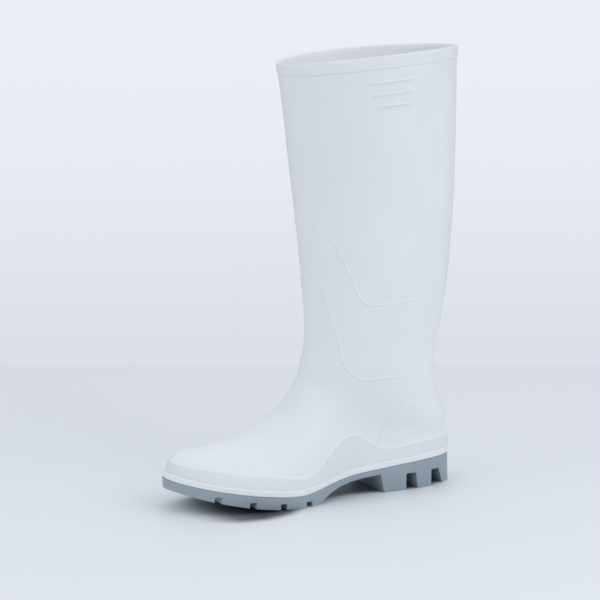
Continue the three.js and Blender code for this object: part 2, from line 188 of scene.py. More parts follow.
upper_leg = table(
    "up back depth width power",
    (0.0, 0.0666, 0.0, 0.0, 2),
    (0.054, 0.0614, -0.047, 0.06, 2),
    (0.107, 0.0507, 0.003, 0.125, 2),
    (0.196, 0.0362, 0.127, 0.235, 2),
    (0.285, 0.0248, 0.256, 0.34, 2),
    (0.392, 0.0162, 0.393, 0.452, 2),
    (0.5, 0.0097, 0.52, 0.555, 2),
    (0.64, 0.0062, 0.668, 0.69, 1.98),
    (0.82, 0.0041, 0.828, 0.852, 1.94),
    (1.0, 0.0041, 1.0, 1.0, 1.9),
    (1.08, 0.0041, 1.05, 1.05, 1.9),
)

foot = table(
    "along top ridge side crown",
    (0.0, 0.1, -0.02, 2.6, 3.0),
    (0.2, 0.25, -0.02, 2.6, 2.6),
    (0.32, 0.6, -0.02, 2.4, 2.3),
    (0.42, 0.89, -0.02, 2.3, 2.2),
    (0.48, 0.875, -0.03, 2.35, 2.25),
    (0.52, 0.785, -0.04, 2.4, 2.3),
    (0.56, 0.615, -0.05, 2.4, 2.3),
    (0.6, 0.43, -0.06, 2.4, 2.3),
    (0.65, 0.27, -0.07, 2.45, 2.3),
    (0.7, 0.13, -0.08, 2.5, 2.35),
    (0.76, 0.035, -0.08, 2.6, 2.5),
    (0.83, 0.005, -0.07, 2.8, 2.8),
    (0.9, 0.02, -0.05, 3.3, 3.3),
    (1.0, 0.05, -0.04, 3.8, 3.8),
)

# Rays that find the foot's surface, as in the part's source
climb = table(
    "front front_up lift back back_up follow bands hump",
    (0.776, 0.33, 0, 0.155, 0.4, 1, 1.12, 1),
    (0.78, 0.34, 22, 0.155, 0.43, 0.8, 1.35, 0.97),
    (0.78, 0.33, 48, 0.155, 0.47, 0.5, 1.65, 0.93),
    (0.765, 0.3, 72, 0.162, 0.52, 0.2, 1.95, 0.88),
    (0.69, 0.3, 82, 0.172, 0.57, 0, 2, 0.8),
    (0.614, 0.32, 76, 0.18, 0.63, 0, 2, 0.7),
    (0.534, 0.38, 64, 0.19, 0.69, 0, 2, 0.58),
    (0.455, 0.52, 50, 0.2, 0.76, 0, 2, 0.42),
    (0.397, 0.67, 38, 0.214, 0.84, 0, 2, 0.25),
    (0.352, 0.82, 26, 0.228, 0.93, 0, 2, 0.12),
    (0.324, 0.97, 17, 0.241, 1.04, 0, 2, 0.04),
    (0.303, 1.13, 9, 0.255, 1.17, 0, 2, 0),
    (0.29, 1.33, 4, 0.262, 1.35, 0, 2, 0),
    (0.276, 1.58, 0, 0.269, 1.58, 0, 2, 0),
)


class Curve:
    """Natural cubic spline through one column of a table."""

    def __init__(self, rows, across, column):
        self.x = np.array([row[across] for row in rows], float)
        self.y = np.array([row[column] for row in rows], float)
        span = np.diff(self.x)
        slope = np.diff(self.y) / span
        size = len(self.x)
        matrix = np.eye(size)
        right = np.zeros(size)
        for i in range(1, size - 1):
            matrix[i, i - 1:i + 2] = span[i - 1], 2 * (span[i - 1] + span[i]), span[i]
            right[i] = 6 * (slope[i] - slope[i - 1])
        self.bend = np.linalg.solve(matrix, right)

    def __call__(self, at):
        x = np.clip(at, self.x[0], self.x[-1])
        i = np.clip(np.searchsorted(self.x, x) - 1, 0, len(self.x) - 2)
        span = self.x[i + 1] - self.x[i]
        b = (x - self.x[i]) / span
        a = 1 - b
        curved = ((a**3 - a) * self.bend[i] + (b**3 - b) * self.bend[i + 1]) * span**2 / 6
        return a * self.y[i] + b * self.y[i + 1] + curved


def mix(a, b, share):
    return a + (b - a) * share


plan_width = Curve(plan, "along", "width")
plan_swing = Curve(plan, "along", "swing")
seam_share = Curve(seam, "along", "height")
band_share = Curve(band, "along", "height")


def seam_at(along):
    return heel_seat * seam_share(along)


def band_at(along):
    return band_height * band_share(along)


def plan_reach(x, y, inset):
    """0 on the middle of the plan, 1 on its outline drawn in by inset."""
    start = heel_flare + inset
    along = (-y - start) / (sole_length - start - inset)
    outer = x > 0
    inside = np.clip(along, 0, 1)
    swing = np.where(outer, 1, -1) * plan_swing(inside)
    half = ball_width * (plan_width(inside) / 2 + swing) - inset
    heel = (heel_round["length"] - along) / heel_round["length"]
    toe = (along - 1 + toe_round["length"]) / toe_round["length"]
    end = np.maximum(np.maximum(heel, toe), 0)
    at_heel = heel > toe
    outer_power = np.where(at_heel, heel_round["outer"], toe_round["outer"])
    inner_power = np.where(at_heel, heel_round["inner"], toe_round["inner"])
    power = np.where(outer, outer_power, inner_power)
    return ((np.abs(x) / half) ** power + end**power) ** (1 / power)


def leg_rows():
    rows = []
    for row in lower_leg:
        back = -row["back"] * sole_length
        rows.append({
            "z": row["up"] * ankle_height,
            "back": back,
            "front": back - row["depth"] * ankle_depth,
            "middle": -row["middle"] * sole_length,
            "half": row["width"] * ankle_width / 2,
            "power": row["power"],
            "swing": row["swing"] * ankle_width,
        })
    for row in upper_leg:
        back = -row["back"] * sole_length
        front = back - mix(ankle_depth, collar_depth, row["depth"])
        rows.append({
            "z": mix(ankle_height, shaft_height, row["up"]),
            "back": back,
            "front": front,
            "middle": mix(back, front, mix(0.5, collar_middle, row["up"])),
            "half": mix(ankle_width, collar_width, row["width"]) / 2,
            "power": row["power"],
            "swing": 0,
        })
    return rows


leg = leg_rows()
leg_back = Curve(leg, "z", "back")
leg_front = Curve(leg, "z", "front")
leg_middle = Curve(leg, "z", "middle")
leg_half = Curve(leg, "z", "half")
leg_power = Curve(leg, "z", "power")
leg_swing = Curve(leg, "z", "swing")


def leg_distance(x, y, z):
    middle = leg_middle(z)
    reach = np.where(y > middle, leg_back(z) - middle, middle - leg_front(z))
    half = leg_half(z)
    power = leg_power(z)
    across = np.abs(x - leg_swing(z)) / half
    along = np.abs(y - middle) / reach
    return ((across**power + along**power) ** (1 / power) - 1) * half


foot_top = Curve(foot, "along", "top")
foot_ridge = Curve(foot, "along", "ridge")
foot_side = Curve(foot, "along", "side")
foot_crown = Curve(foot, "along", "crown")
foot_inset = seam_step + lip_proud + band_proud
foot_scale = 35


def foot_distance(x, y, z):
    along = np.clip(-y / sole_length, 0, 1)
    floor = seam_at(along)
    top = mix(toe_height, instep_height, foot_top(along))
    height = np.maximum((z - floor) / (top - floor), 0)
    lean = foot_ridge(along) * ball_width * np.minimum(height, 1) ** 2
    reach = plan_reach(x - lean, y, foot_inset)
    side = foot_side(along)
    section = reach**side + height ** foot_crown(along)
    return (section ** (1 / side) - 1) * foot_scale


def boot_distance(x, y, z):
    a = leg_distance(x, y, z)
    b = foot_distance(x, y, z)
    share = np.clip(0.5 + 0.5 * (b - a) / blend, 0, 1)
    return mix(b, a, share) - blend * share * (1 - share)


def boot_normal(points):
    d = normal_step
    x, y, z = np.moveaxis(points, -1, 0)
    rise = np.stack([
        boot_distance(x + d, y, z) - boot_distance(x - d, y, z),
        boot_distance(x, y + d, z) - boot_distance(x, y - d, z),
        boot_distance(x, y, z + d) - boot_distance(x, y, z - d),
    ], -1)
    return rise / np.linalg.norm(rise, axis=-1, keepdims=True)


def wall_distance(at, shape):
    """How far out along each ray the wall is, by halving the way."""
    inside = np.zeros(shape)
    outside = np.full(shape, ray_reach)
    for _ in range(halvings):
        t = (inside + outside) / 2
        within = boot_distance(*at(t)) < 0
        inside = np.where(within, t, inside)
        outside = np.where(within, outside, t)
    return (inside + outside) / 2


def surface_points(rays, angles):
    """Points of the plain wall: one row for each ray, one column for each angle from the toe."""
    column = {key: np.array([ray[key] for ray in rays], float)[:, None] for key in rays[0]}
    angles = np.asarray(angles)[None, :]
    to_toe = (1 + np.cos(angles)) / 2
    start_y = -sole_length * mix(column["back"], column["front"], to_toe)
    start_z = ankle_height * mix(column["back_up"], column["front_up"], to_toe)
    lift = np.radians(column["lift"]) * to_toe**lift_power

    def at(t):
        x = t * np.sin(angles) * np.cos(lift)
        y = start_y - t * np.cos(angles) * np.cos(lift)
        bow = column["bow"] * ((y - start_y) / (collar_depth / 2)) ** 2
        free = start_z + t * np.sin(lift) + column["tilt"] * (y - start_y) - bow
        along = np.clip(-y / sole_length, 0, 1)
        kept = seam_at(along) + clearance + column["bands"] * band_height + column["above"]
        hump = column["hump"] * (band_at(along) - band_height)
        return x, y, mix(free, kept, column["follow"]) + hump

    return np.stack(at(wall_distance(at, start_y.shape)), -1)


seam_ray = {**climb[0], "bands": 0, "hump": 0, "above": 0, "tilt": 0, "bow": 0}
half_band_ray = {**seam_ray, "bands": 0.6, "hump": 0.6}


def climb_ray(share):
    at = share * (len(climb) - 1)
    row = min(int(at), len(climb) - 2)
    ray = {key: mix(climb[row][key], climb[row + 1][key], at - row) for key in climb[0]}
    return {**ray, "above": 0, "tilt": 0, "bow": 0}


def shaft_ray(share):
    last = climb[-1]
    middle = (leg[-2]["back"] + leg[-2]["front"]) / 2
    up = mix(last["back_up"] * ankle_height, shaft_height, share) / ankle_height
    place = mix(last["front"], -middle / sole_length, min(share * 2, 1))
    return {**last, "front": place, "back": place, "front_up": up, "back_up": up,
            "tilt": collar_tilt * share, "bow": collar_bow * share, "above": 0}


shaft_room = shaft_height - climb[-1]["back_up"] * ankle_height


def shaft_ray_below(rim_gap):
    """A ray so many millimetres below the collar's rim."""
    return shaft_ray(1 - rim_gap / shaft_room)


def step(x, edge, width):
    t = np.clip((x - edge) / width + 0.5, 0, 1)
    return t * t * (3 - 2 * t)


def drawn_in(points, angles):
    """How far the wall is drawn in above the lip at the toe, where the lip stands out like a bumper."""
    above = points[..., 2] - seam_at(-points[..., 1] / sole_length)
    to_toe = (1 + np.cos(angles)) / 2
    over_lip = step(above, lip_height + 0.5, 1.0)
    over_band = step(above, band_height + 4, 14)
    return toe_draw * to_toe**4 * over_lip * (1 - over_band)


def ring_points(rays, angles, out, level):
    """Rings moved along the wall's normal. Level rings move sideways and keep to the seam."""
    points = surface_points(rays, angles)
    normal = boot_normal(points)
    flat = normal * [1, 1, 0]
    flat /= np.linalg.norm(flat, axis=-1, keepdims=True)
    level = np.asarray(level)[:, None, None]
    moved = points + np.where(level, flat, normal) * np.asarray(out)[:, None, None]
    moved -= flat * drawn_in(points, np.asarray(angles))[..., None]
    follow = np.array([ray["follow"] for ray in rays])[:, None] * level[..., 0]
    slide = seam_at(-moved[..., 1] / sole_length) - seam_at(-points[..., 1] / sole_length)
    moved[..., 2] += follow * slide
    return moved


heel_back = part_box("outsole")[1].y * 1000 + heel_foot
origin = np.array([0, heel_back, 0])


def to_row(points):
    return (np.asarray(points) + origin) / 1000


def linked(name, data):
    """A new object with that data, in the scene."""
    obj = bpy.data.objects.new(name, data)
    bpy.context.scene.collection.objects.link(obj)
    return obj


def mesh_object(name, points, faces):
    mesh = bpy.data.meshes.new(name)
    mesh.from_pydata(to_row(points).tolist(), [], faces)
    mesh.validate()
    mesh.polygons.foreach_set("use_smooth", [True] * len(mesh.polygons))
    mesh.update()
    return linked(name, mesh)


def ring_faces(rows, count, strips):
    """Four-sided faces between rings. As many strips as rings joins the last ring to the first."""
    row = np.arange(strips)[:, None]
    after = (row + 1) % rows
    i = np.arange(count)[None, :]
    j = (i + 1) % count
    corners = [row * count + i, row * count + j, after * count + j, after * count + i]
    return np.stack([np.broadcast_to(c, (strips, count)) for c in corners], -1).reshape(-1, 4).tolist()


def shell_object(name, rings):
    """Closed surface from rings that run up the outside and down the inside."""
    rows, count = rings.shape[:2]
    return mesh_object(name, rings.reshape(-1, 3), ring_faces(rows, count, rows))


def mend(mesh, merge=None, flatten=None, outward=True):
    """Join points nearer than merge and faces within the angle flatten, and turn the faces outwards."""
    work = bmesh.new()
    work.from_mesh(mesh)
    if merge:
        bmesh.ops.remove_doubles(work, verts=work.verts, dist=merge)
    if flatten:
        bmesh.ops.dissolve_limit(work, angle_limit=flatten, verts=work.verts, edges=work.edges)
    if outward:
        bmesh.ops.recalc_face_normals(work, faces=work.faces)
    work.to_mesh(mesh)
    work.free()


def bump(x, centre, width):
    """A rounded ridge of height 1 and that full width."""
    t = np.clip(np.abs(x - centre) / (width / 2), 0, 1)
    return (1 + np.cos(np.pi * t)) / 2


def full_turn(count):
    return np.arange(count) / count * 2 * math.pi


# The raised band, from the seam up: lip, groove, field and bead
field_foot = lip_height + lip_gap


def field_ray(share):
    return {**seam_ray, "above": field_foot * (1 - share), "bands": share, "hump": share}


def band_rays():
    """Rays up the band, and how far the wall stands out at each."""
    rays, out = [], []
    low = [0, lip_foot]
    face = np.linspace(0.9, lip_height - 0.9, 4)
    shoulder = np.linspace(lip_height - 0.6, field_foot, 11)
    for above in np.concatenate([low, face, shoulder]):
        lip = band_proud + lip_proud * (1 - step(above, lip_height, 0.8))
        round_foot = lip_foot * (1 - min(above / lip_foot, 1)) ** 2
        cut = groove["depth"] * bump(above, lip_height + groove["away"], groove["width"])
        rays.append({**seam_ray, "above": above})
        out.append(lip - round_foot - cut)
    for share in np.linspace(0, 1, 22)[1:-1]:
        rays.append(field_ray(share))
        out.append(mix(band_proud, field_top, share))
    for above in np.linspace(-bead_width, 1.2, 13):
        bead = bead_height * bump(above, -bead_width / 2, bead_width)
        rays.append({**seam_ray, "bands": 1, "hump": 1, "above": above})
        out.append((field_top + bead) * (1 - step(above, 0.5, 1.4)))
    return rays, out


def collar_rays():
    """Rays up the collar to its rounded rim, and how far the wall stands out at each."""
    rays, out = [], []
    edge = np.linspace(collar_band + 2, collar_band - 1, 13)
    face = np.linspace(collar_band - 2, 2.4, 5)
    rim = [rim_round, 1.1, 0.6, 0.25]
    for gap in np.concatenate([edge, face, rim]):
        rays.append(shaft_ray_below(gap))
        over = max(rim_round - gap, 0) / rim_round
        rounding = rim_drop * (1 - math.sqrt(max(0, 1 - over**2)))
        away = collar_band + collar_groove["away"]
        cut = collar_groove["depth"] * bump(gap, away, collar_groove["width"])
        out.append(collar_proud * step(collar_band - gap, 0, 0.8) - cut - rounding)
    return rays, out


def climb_rays(count):
    return [climb_ray(share) for share in np.linspace(0, 1, count)]


def shaft_rays(rim_gap, count):
    """Rays from above the climb to so many millimetres below the rim."""
    return [shaft_ray(share) for share in np.linspace(0, 1 - rim_gap / shaft_room, count)[1:]]


def plastic_shell():
    """The wall in one closed surface, with its own material inside."""
    angles = full_turn(shell_around)
    band_part, band_out = band_rays()
    climb_part = climb_rays(100)[1:]
    shaft_part = shaft_rays(collar_band + 2.4, 52)
    collar_part, collar_out = collar_rays()
    rays = band_part + climb_part + shaft_part + collar_part
    plain = len(climb_part) + len(shaft_part)
    out = band_out + [0] * plain + collar_out
    level = [True] * len(band_part) + [False] * len(climb_part)
    level += [True] * (len(shaft_part) + len(collar_part))
    outer = ring_points(rays, angles, out, level)
    low = [seam_ray, half_band_ray]
    climb_inside = climb_rays(36)
    top_gaps = (lining_drop - 0.1, lining_drop - 0.5, 14, 5, 1.2, 0.5, 0.2)
    inner_rays = low + climb_inside + shaft_rays(lining_drop + 3, 12)
    inner_out = [-plastic] * (len(inner_rays) + 1) + [-wall] * 4 + [0.3 - wall, 0.8 - wall]
    inner_rays += [shaft_ray_below(gap) for gap in top_gaps]
    above_climb = len(inner_rays) - len(low) - len(climb_inside)
    inner_level = [True] * len(low) + [False] * len(climb_inside) + [True] * above_climb
    inner = ring_points(inner_rays, angles, inner_out, inner_level)
    rim = ring_points([shaft_ray(1)], angles, [-wall / 2], [True])
    rings = np.concatenate([outer, rim, inner[::-1]])
    obj = shell_object("shaft_and_foot", rings)
    slots = np.zeros(rings.shape[:2], int)
    slots[len(outer) + 1:] = 1
    obj.data.polygons.foreach_set("material_index", slots.reshape(-1))
    return obj


def lining_shell():
    """The knit inside the wall, from the insole up to its edge below the rim."""
    angles = full_turn(lining_around)
    low = [{**seam_ray, "above": insole_thickness + clearance}, half_band_ray]
    climb_part = climb_rays(60)
    shaft_part = shaft_rays(lining_drop + 1, 40)
    rays = low + climb_part + shaft_part
    level = [True] * len(low) + [False] * len(climb_part) + [True] * len(shaft_part)
    outer = ring_points(rays, angles, [-plastic - lining_gap] * len(rays), level)
    inner = ring_points(rays, angles, [-wall] * len(rays), level)
    edge = ring_points([shaft_ray_below(lining_drop)], angles, [-(plastic + wall) / 2], [True])
    return shell_object("lining", np.concatenate([outer, edge, inner[::-1]]))


def band_hatch():
    """Fine ridges that cross in diamonds on the band's field: one thin closed sheet in the wall."""
    shares = np.linspace(0, 1, 25)
    rays = [field_ray(share) for share in shares]
    out = mix(band_proud, field_top, shares)
    level = [True] * len(rays)
    turn = np.linspace(0, 2 * math.pi, 721)
    half_way = len(rays) // 2
    middle = ring_points(rays[half_way:half_way + 1], turn, [band_proud], [True])[0]
    run = np.concatenate([[0], np.cumsum(np.linalg.norm(np.diff(middle, axis=0), axis=-1))])
    count = round(run[-1] / hatch_pitch) * hatch_steps
    angles = np.interp(np.arange(count) / count * run[-1], run, turn)
    base = ring_points(rays, angles, out, level)
    outward = ring_points(rays, angles, out + 1, level) - base
    rise = np.linalg.norm(np.diff(base, axis=0), axis=-1)
    up = np.concatenate([np.zeros((1, count)), np.cumsum(rise, axis=0)])
    rows = int(up[-1].max() / hatch_pitch * hatch_steps) + 2
    height = np.minimum(np.arange(rows)[:, None] * hatch_pitch / hatch_steps, up[-1])
    grid = np.zeros((2, rows, count, 3))
    for column in range(count):
        for axis in range(3):
            for part, source in enumerate((base, outward)):
                values = source[:, column, axis]
                grid[part, :, column, axis] = np.interp(height[:, column], up[:, column], values)
    place, outward = grid
    across = np.arange(count)[None, :] / hatch_steps
    diagonals = [(across + side * height / hatch_pitch) % 1 for side in (-1, 1)]
    ridges = [np.abs(2 * diagonal - 1) ** 2 for diagonal in diagonals]
    margin = step(np.minimum(height, up[-1] - height), 0.4, 0.8)
    relief = (hatch_height + sunk) * np.maximum(*ridges) * margin - sunk
    outer = place + outward * relief[..., None]
    under = place - outward * sheet_depth
    inner = under[::-hatch_steps]
    obj = shell_object("band_hatch", np.concatenate([outer, inner, under[:1]]))
    mend(obj.data, merge=1e-6, outward=False)
    return obj


def leg_points(turns, heights):
    """Points of the leg's surface at those turns and heights, with their normals."""
    turns = np.radians(turns)
    start = leg_middle(heights)

    def at(t):
        return t * np.sin(turns), start - t * np.cos(turns), heights

    points = np.stack(at(wall_distance(at, turns.shape)), -1)
    return points, boot_normal(points)


def path(rows, count):
    """Evenly spread turns and heights on a smooth line through table rows."""
    rows = [dict(row) for row in rows]
    place = 0
    for before, row in zip(rows[:1] + rows, rows):
        place += math.hypot(row["turn"] - before["turn"], row["up"] - before["up"])
        row["place"] = place
    share = np.linspace(0, 1, count)
    return Curve(rows, "place", "turn")(share * place), Curve(rows, "place", "up")(share * place), share


def mirrored(rows):
    """The same line on both sides of the front."""
    return [{"turn": -row["turn"], "up": row["up"]} for row in rows[:0:-1]] + rows


def bead(rows, width, height, taper_start, taper_end, count=160, flip=False):
    """A rounded ridge on the leg along a line, thinning out at its ends."""
    turns, heights, share = path(rows, count)
    points, normal = leg_points(-turns if flip else turns, heights)
    ahead = np.gradient(points, axis=0)
    ahead /= np.linalg.norm(ahead, axis=-1, keepdims=True)
    side = np.cross(normal, ahead)
    thin = np.ones(count)
    if taper_start:
        thin = np.minimum(thin, step(share, taper_start / 2, taper_start))
    if taper_end:
        thin = np.minimum(thin, 1 - step(share, 1 - taper_end / 2, taper_end))
    lines = []
    for across in np.linspace(-0.5, 0.5, 11):
        rise = (1 + math.cos(2 * math.pi * across)) / 2 * (height + sunk) * thin - sunk
        lines.append(points + side * (across * width) + normal * rise[:, None])
    root = points - normal * (sunk + root_depth)
    lines += [root + side * (width * root_share), root - side * (width * root_share)]
    return np.array(lines)


def beads_object(name, grids):
    """One mesh of several closed ridges."""
    points = []
    faces = []
    for grid in grids:
        loops, length = grid.shape[:2]
        base = len(points)
        points.extend(grid.reshape(-1, 3).tolist())
        for a in range(loops):
            b = (a + 1) % loops
            for i in range(length - 1):
                near, far = base + a * length + i, base + b * length + i
                faces.append((near, near + 1, far + 1, far))
        faces.append([base + a * length for a in range(loops)])
        faces.append([base + a * length + length - 1 for a in range(loops)][::-1])
    obj = mesh_object(name, points, faces)
    mend(obj.data)
    return obj


# Nodes of a material
def socket(node, name, value):
    node.inputs[name].default_value = value


def new_material(name, color, roughness):
    material = bpy.data.materials.new(name)
    material.use_nodes = True
    shader = material.node_tree.nodes["Principled BSDF"]
    socket(shader, "Base Color", (*color, 1))
    socket(shader, "Roughness", roughness)
    return material, shader


def add_noise(material, scale, detail, roughness=0.5):
    tree = material.node_tree
    place = tree.nodes.new("ShaderNodeTexCoord")
    noise = tree.nodes.new("ShaderNodeTexNoise")
    socket(noise, "Scale", scale)
    socket(noise, "Detail", detail)
    socket(noise, "Roughness", roughness)
    tree.links.new(place.outputs["Object"], noise.inputs["Vector"])
    return noise


def vary(material, noise, target, low, high):
    tree = material.node_tree
    ramp = tree.nodes.new("ShaderNodeMapRange")
    socket(ramp, "From Min", 0.3)
    socket(ramp, "From Max", 0.7)
    socket(ramp, "To Min", low)
    socket(ramp, "To Max", high)
    tree.links.new(noise.outputs["Fac"], ramp.inputs["Value"])
    tree.links.new(ramp.outputs["Result"], target)


def tint(material, noise, target, low, high):
    tree = material.node_tree
    ramp = tree.nodes.new("ShaderNodeValToRGB")
    ramp.color_ramp.elements[0].position = 0.35
    ramp.color_ramp.elements[1].position = 0.65
    ramp.color_ramp.elements[0].color = (*low, 1)
    ramp.color_ramp.elements[1].color = (*high, 1)
    tree.links.new(noise.outputs["Fac"], ramp.inputs["Fac"])
    tree.links.new(ramp.outputs["Color"], target)


def add_bump(material, shader, height, distance, strength=1.0, before=None):
    tree = material.node_tree
    node = tree.nodes.new("ShaderNodeBump")
    socket(node, "Distance", distance)
    socket(node, "Strength", strength)
    tree.links.new(height, node.inputs["Height"])
    if before is not None:
        tree.links.new(before.outputs["Normal"], node.inputs["Normal"])
    tree.links.new(node.outputs["Normal"], shader.inputs["Normal"])
    return node


def white_plastic(name, low, high):
    material, shader = new_material(name, high, 0.4)
    socket(shader, "Specular IOR Level", 0.4)
    socket(shader, "Coat Weight", 0.1)
    socket(shader, "Coat Roughness", 0.4)
    clouds = add_noise(material, 14, 3)
    tint(material, clouds, shader.inputs["Base Color"], low, high)
    smear = add_noise(material, 45, 4)
    vary(material, smear, shader.inputs["Roughness"], 0.38, 0.48)
    waves = add_noise(material, 22, 2)
    soft = add_bump(material, shader, waves.outputs["Fac"], 0.0012, 0.25)
    grain = add_noise(material, 900, 2)
    add_bump(material, shader, grain.outputs["Fac"], 0.0001, 0.35, soft)
    return material


def grey_rubber():
    material, shader = new_material("grey_sole", (0.27, 0.32, 0.37), 0.5)
    socket(shader, "Specular IOR Level", 0.4)
    clouds = add_noise(material, 25, 4)
    tint(material, clouds, shader.inputs["Base Color"], (0.31, 0.365, 0.42), (0.34, 0.395, 0.455))
    smear = add_noise(material, 70, 4)
    vary(material, smear, shader.inputs["Roughness"], 0.44, 0.58)
    grain = add_noise(material, 700, 3)
    add_bump(material, shader, grain.outputs["Fac"], 0.00015, 0.4)
    return material


def knit_lining():
    material, shader = new_material("knit_lining", (0.8, 0.82, 0.85), 0.9)
    tree = material.node_tree
    place = tree.nodes.new("ShaderNodeTexCoord")
    heights = []
    for turn in (0.6, -0.6):
        turned = tree.nodes.new("ShaderNodeMapping")
        socket(turned, "Rotation", (turn, turn, turn))
        wave = tree.nodes.new("ShaderNodeTexWave")
        socket(wave, "Scale", 190)
        socket(wave, "Distortion", 0.6)
        tree.links.new(place.outputs["Object"], turned.inputs["Vector"])
        tree.links.new(turned.outputs["Vector"], wave.inputs["Vector"])
        heights.append(wave)
    both = tree.nodes.new("ShaderNodeMath")
    both.operation = "MAXIMUM"
    tree.links.new(heights[0].outputs["Fac"], both.inputs[0])
    tree.links.new(heights[1].outputs["Fac"], both.inputs[1])
    add_bump(material, shader, both.outputs["Value"], 0.0004, 0.6)
    fuzz = add_noise(material, 120, 5)
    tint(material, fuzz, shader.inputs["Base Color"], (0.86, 0.875, 0.9), (0.92, 0.93, 0.95))
    return material


def grey_felt():
    material, shader = new_material("grey_felt", (0.45, 0.48, 0.52), 0.95)
    fuzz = add_noise(material, 260, 6, 0.7)
    tint(material, fuzz, shader.inputs["Base Color"], (0.36, 0.39, 0.43), (0.52, 0.55, 0.6))
    add_bump(material, shader, fuzz.outputs["Fac"], 0.0006, 0.8)
    return material


def dress(obj, slot, *materials):
    for material in materials:
        obj.data.materials.append(material)
    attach(obj, "root")


# Raised lines: turn round the leg from the toe in degrees, and height
upper_line = table(
    "turn up",
    (0, 253.4),
    (10, 253),
    (18, 249.6),
    (27, 242),
    (35, 225),
    (43, 204.5),
    (49.5, 187),
    (55, 181.2),
    (63, 179.1),
    (78, 179.5),
    (96, 181.2),
    (118, 182.5),
)
lower_line = table(
    "turn up",
    (0, 203.8),
    (7, 203.6),
    (13.5, 199.5),
    (18.5, 192.4),
    (22.5, 179),
    (27, 162),
    (31, 147),
    (35, 134),
    (40, 123.6),
    (46, 115.5),
    (53, 110.9),
    (64, 110.2),
    (84, 110.6),
    (104, 111),
    (130, 111.5),
)
heel_line = table(
    "turn up",
    (33, 43.5),
    (38, 54),
    (46, 62),
    (60, 69.9),
    (79, 77.4),
    (99, 84),
    (118, 89.2),
)
# Ribs under the collar: where each starts and ends, and how high its ends are
rib_rows = table(
    "from to low high",
    (63.5, 106, 376.5, 381.8),
    (66, 104, 366.2, 371.0),
    (69.5, 103, 356.5, 360.4),
)
# Ridges on the heel's back
ridge_heights = [44, 55, 66, 77]
ridge_turns = (146, 180, 214)


def raised_lines():
    lines = (mirrored(upper_line), mirrored(lower_line))
    front = [bead(rows, line_width, line_height, 0.05, 0.05, count=420) for rows in lines]
    sides = (False, True)
    heel = [bead(heel_line, line_width, heel_line_height, 0, 0.12, flip=flip) for flip in sides]
    return beads_object("raised_lines", front + heel)


def collar_ribs():
    grids = []
    for row in rib_rows:
        start = {"turn": row["from"], "up": row["low"]}
        end = {"turn": row["to"], "up": row["high"]}
        middle = {key: (start[key] + end[key]) / 2 for key in start}
        for flip in (False, True):
            rows = [start, middle, end]
            grids.append(bead(rows, rib_width, rib_height, 0.08, 0.25, count=90, flip=flip))
    return beads_object("collar_ribs", grids)


def heel_ridges():
    grids = []
    for up in ridge_heights:
        rows = [{"turn": turn, "up": up} for turn in ridge_turns]
        grids.append(bead(rows, ridge_width, ridge_height, 0.4, 0.4, count=90))
    return beads_object("heel_ridges", grids)


def sole_piece():
    """The sole's own shape with its edges rounded."""
    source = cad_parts["outsole"]
    mesh = source.data.copy()
    mesh.name = "lugged_sole"
    mesh.materials.clear()
    mend(mesh, merge=1e-6, flatten=math.radians(0.6))
    mesh.polygons.foreach_set("use_smooth", [True] * len(mesh.polygons))
    obj = linked("lugged_sole", mesh)
    edge = obj.modifiers.new("edge", "BEVEL")
    edge.width = sole_edge / 1000
    edge.segments = 3
    edge.limit_method = "ANGLE"
    edge.angle_limit = math.radians(28)
    edge.harden_normals = True
    return obj


def insole_piece():
    """A felt insole, cupped a little at its edge, on the sole's top."""
    angles = full_turn(insole_around)
    inset = -wall - clearance
    heights = (0.1, 0.6, insole_thickness - 0.9, insole_thickness - 0.3)
    rays = [{**seam_ray, "above": above} for above in heights]
    out = [inset - 0.5, inset, inset, inset - 0.25]
    edge = ring_points(rays, angles, out, [True] * 4)
    rings = list(edge)
    last = edge[-1]
    along = -last[:, 1] / sole_length
    middle = plan_swing(along) * ball_width
    cup = 0.5
    for share in (0.985, 0.95, 0.88, 0.76, 0.6, 0.4, 0.2, 0.0):
        ring = last.copy()
        ring[:, 0] = middle + (last[:, 0] - middle) * share
        ring[:, 2] = seam_at(along) + insole_thickness - cup * (1 - share**4)
        rings.append(ring)
    base = edge[0].copy()
    base[:, 0] = middle
    rings.insert(0, base)
    faces = ring_faces(len(rings), insole_around, len(rings) - 1)
    obj = mesh_object("felt_insole", np.array(rings).reshape(-1, 3), faces)
    mend(obj.data, merge=1e-5)
    return obj


def build():
    white = white_plastic("white_plastic", (0.85, 0.87, 0.89), (0.875, 0.895, 0.915))
    # The inside of the wall gets a lighter copy of the white plastic: painted light that makes up for
    # the dimmer light inside the shaft.
    inside = white_plastic("painted_lighter_inside_plastic", (0.93, 0.94, 0.95), (0.95, 0.96, 0.97))
    shaft = plastic_shell()
    dress(shaft, "upper", white, inside)
    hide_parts("upper")
    for piece in (band_hatch(), raised_lines(), collar_ribs(), heel_ridges()):
        dress(piece, "upper", white)
    dress(lining_shell(), "upper", knit_lining())
    sole = sole_piece()
    dress(sole, "outsole", grey_rubber())
    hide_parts("outsole")
    insole = insole_piece()
    dress(insole, "insole", grey_felt())
    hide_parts("insole")


# Camera: the angles, distance and aim were solved from the photo's outlines
camera_turn = 63.9
camera_pitch = 9.17
camera_distance = 1785.8
camera_lens = 118.3
sensor_width = 36
aim_right = -8.19
aim_up = 179.46
aim_back = -145.0


# Lights and floor, in metres
light_size = 1.2
light_aim = 0.15
floor_behind = 0.61
floor_pale_from = -0.6
floor_reach = 3.0
floor_fine = 0.22
# The colour of the contact shadow that is painted into the floor
painted_shadow_color = (0.01, 0.013, 0.015)


